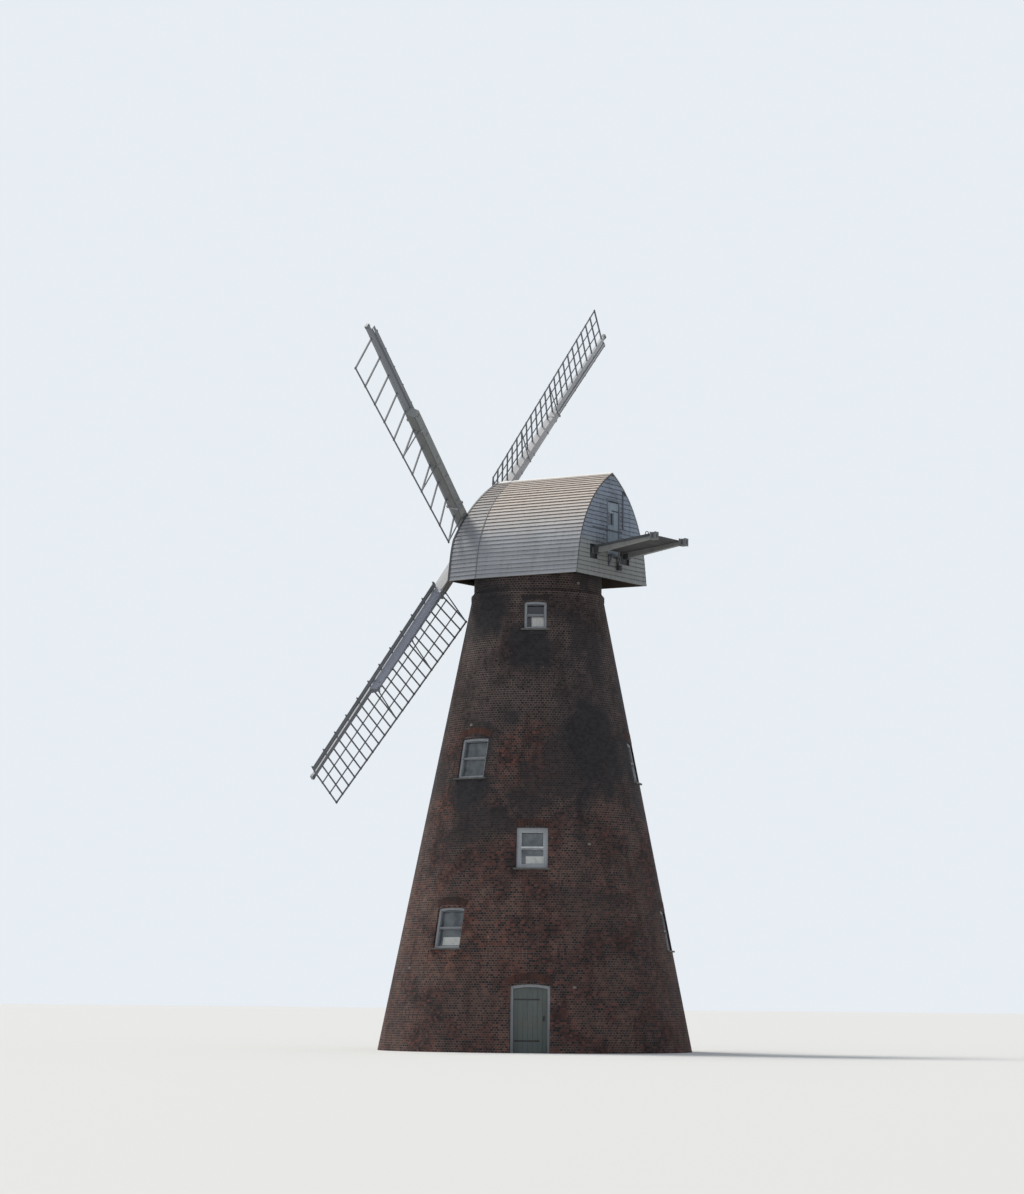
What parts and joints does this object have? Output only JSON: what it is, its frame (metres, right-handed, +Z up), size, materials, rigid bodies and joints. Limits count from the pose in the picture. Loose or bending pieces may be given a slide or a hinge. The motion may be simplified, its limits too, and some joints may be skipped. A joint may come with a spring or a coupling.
{
  "type": "tower windmill",
  "caption": "Traditional brick tower windmill with a tall battered dark tower, sash windows, a white boarded boat cap that turns, bare lattice sails on iron shaft and an empty fan stage.",
  "frame": {"origin": "middle of the tower's foot on the ground", "axes": "Z up, -Y toward the sails, +X to the left when looking from behind at the sails"},
  "size_m": [17.5712, 10.3549, 25.6539],
  "materials": {
    "brick": "soot dark tarred brick, redder below",
    "flagstone": "worn stone",
    "floor_timber": "old boards",
    "iron": "dark cast iron",
    "frame_paint": "grey painted timber",
    "sill_stone": "weathered stone",
    "glass": "dark window glass",
    "door_paint": "dark painted boards",
    "white_boards": "worn white painted weatherboards",
    "gable_boards": "worn grey green painted weatherboards",
    "door_blue_grey": "pale blue grey paint",
    "weathered_grey": "weathered grey painted timber",
    "raw_timber": "old oak",
    "dark_planks": "dark planks",
    "sail_paint": "worn white painted timber",
    "stock_paint": "worn white painted timber, shaded grey"
  },
  "bodies": {
    "tower": {"tower_wall_1": "brick", "tower_wall_2": "brick", "tower_wall_3": "brick", "tower_wall_4": "brick", "tower_wall_5": "brick", "tower_wall_6": "brick", "tower_wall_7": "brick", "tower_wall_8": "brick", "ground_floor": "flagstone", "storey_floors": "floor_timber", "curb": "iron", "window_frames": "frame_paint", "window_sills": "sill_stone", "window_glass": "glass", "door_frames": "frame_paint", "door_leaves": "door_paint"},
    "cap": {"cap_side_left": "white_boards", "cap_side_right": "white_boards", "cap_bow_left": "white_boards", "cap_bow_right": "white_boards", "cap_head_wall": "white_boards", "cap_tail_wall": "gable_boards", "ridge_capping": "white_boards", "gable_door": "door_blue_grey", "gable_pane": "glass", "gable_trim": "weathered_grey", "hanging_weight": "iron", "sheers": "raw_timber", "cross_beams": "raw_timber", "skids": "iron", "shaft_bearings": "iron", "fan_beams": "weathered_grey", "fan_deck": "dark_planks", "fan_post_blocks": "weathered_grey"},
    "sails": {"windshaft": "iron", "poll_end": "iron", "stock_outer": "stock_paint", "stock_inner": "stock_paint", "whips": "sail_paint", "backstays": "iron", "stock_clamps": "iron", "sail_frame_1": "sail_paint", "sail_frame_2": "sail_paint", "sail_frame_3": "sail_paint", "sail_frame_4": "sail_paint"}
  },
  "joints": [
    {"name": "cap_yaw", "type": "hinge", "parent": "tower", "child": "cap", "pos_m": [0, 0, 15.72], "axis": [0, 0, 1], "continuous": true},
    {"name": "sails_turn", "type": "hinge", "parent": "cap", "child": "sails", "pos_m": [0, -2.735, 16.81], "axis": [0, -0.9781, 0.2079], "continuous": true}
  ]
}
